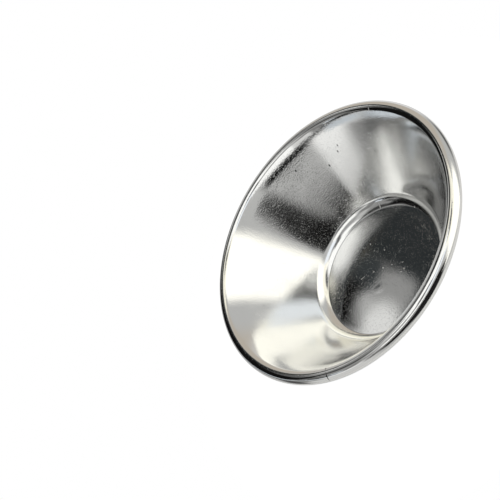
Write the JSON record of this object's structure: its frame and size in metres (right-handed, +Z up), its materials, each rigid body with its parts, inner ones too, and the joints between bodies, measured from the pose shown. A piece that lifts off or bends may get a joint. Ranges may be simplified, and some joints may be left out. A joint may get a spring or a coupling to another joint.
{
  "type": "egg tart mould",
  "caption": "Round aluminium egg tart mould with a flat base, flared wall and rolled rim.",
  "frame": {"origin": "centre of the underside of the base, on the plane that the mould stands on", "axes": "+Z up along the axis of the cup, from the base to the open rim; X and Y lie in the plane of the base and are free, since the mould is round"},
  "size_m": [0.07, 0.07, 0.0214],
  "materials": {
    "sheet": "polished"
  },
  "bodies": {
    "root": {"tart_mould": "sheet"}
  },
  "joints": []
}
